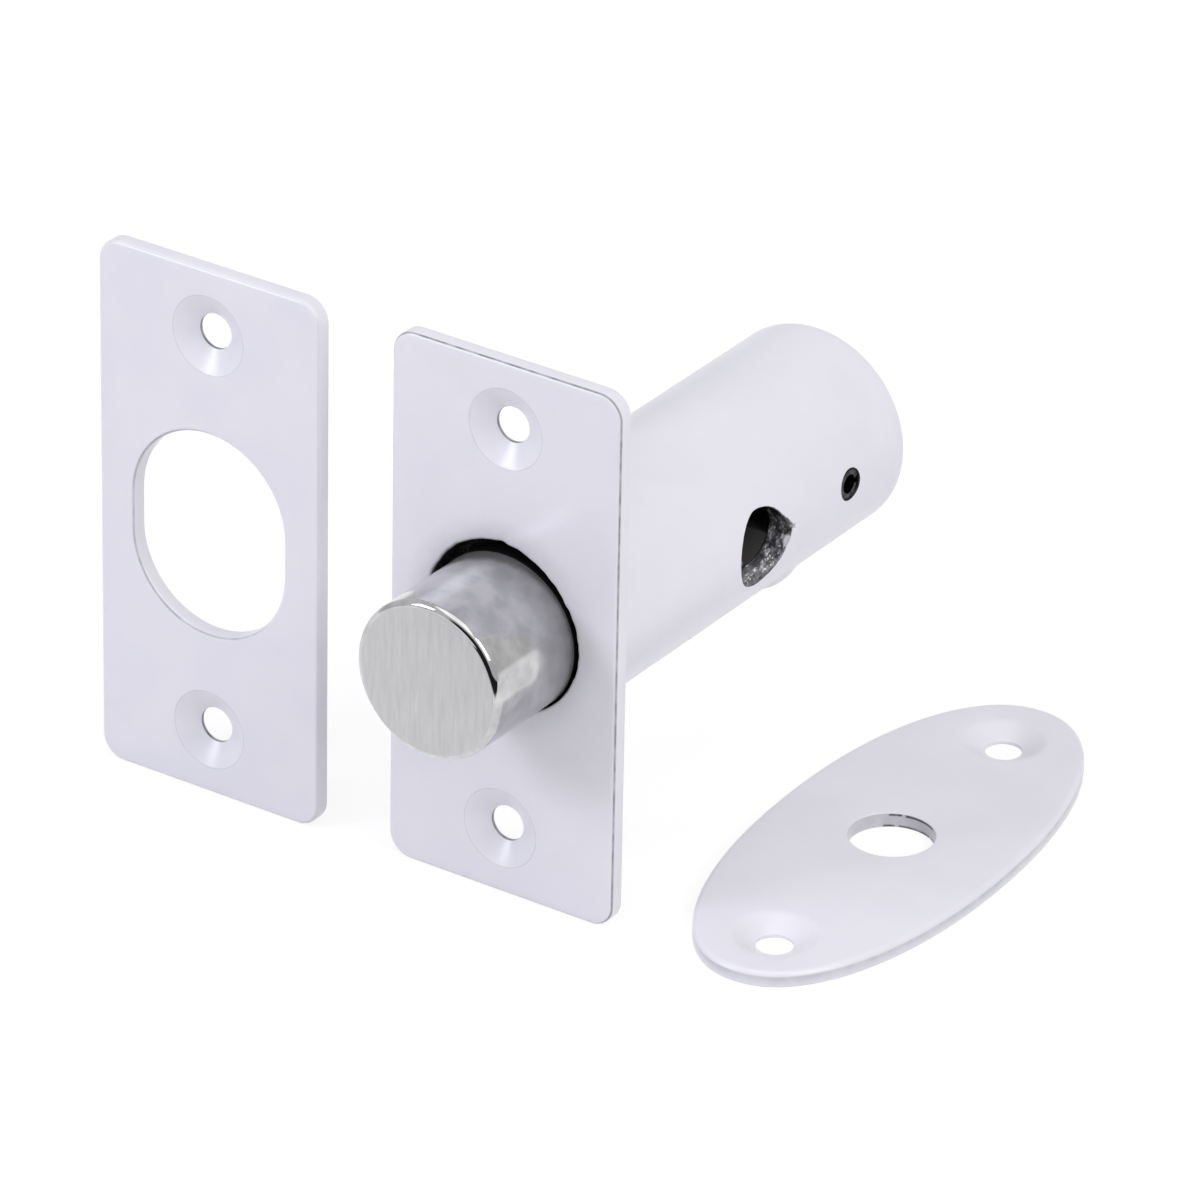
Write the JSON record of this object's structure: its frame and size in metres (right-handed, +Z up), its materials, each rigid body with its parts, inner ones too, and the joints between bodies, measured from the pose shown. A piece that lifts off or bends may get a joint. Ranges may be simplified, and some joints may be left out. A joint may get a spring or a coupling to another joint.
{
  "type": "rack bolt",
  "caption": "Round door bolt in a tubular housing, driven by a key through a toothed slot, with a forend plate, a strike plate and an oval key escutcheon.",
  "frame": {"origin": "middle of the forend plate's back face, which seats on the door, on the bolt's axis and midway between the plate's two screw holes", "axes": "+Y back into the housing, so the bolt is thrown towards -Y; +X the side the key goes in; +Z up"},
  "size_m": [0.0866, 0.0722, 0.0572],
  "materials": {
    "white_coat": "smooth white powder coat",
    "plated_steel": "bright nickel plating over a ground face",
    "spring_steel": "plain rolled spring steel"
  },
  "bodies": {
    "case": {"housing": "white_coat", "forend_plate": "white_coat", "stop_pin": "spring_steel", "strike_plate": "white_coat", "escutcheon": "white_coat"},
    "bolt": {"bolt": "plated_steel", "friction_spring": "spring_steel"}
  },
  "joints": [
    {"name": "bolt_slide", "type": "slide", "parent": "case", "child": "bolt", "axis": [0, 1, 0], "range_m": [0, 0.0125]}
  ]
}
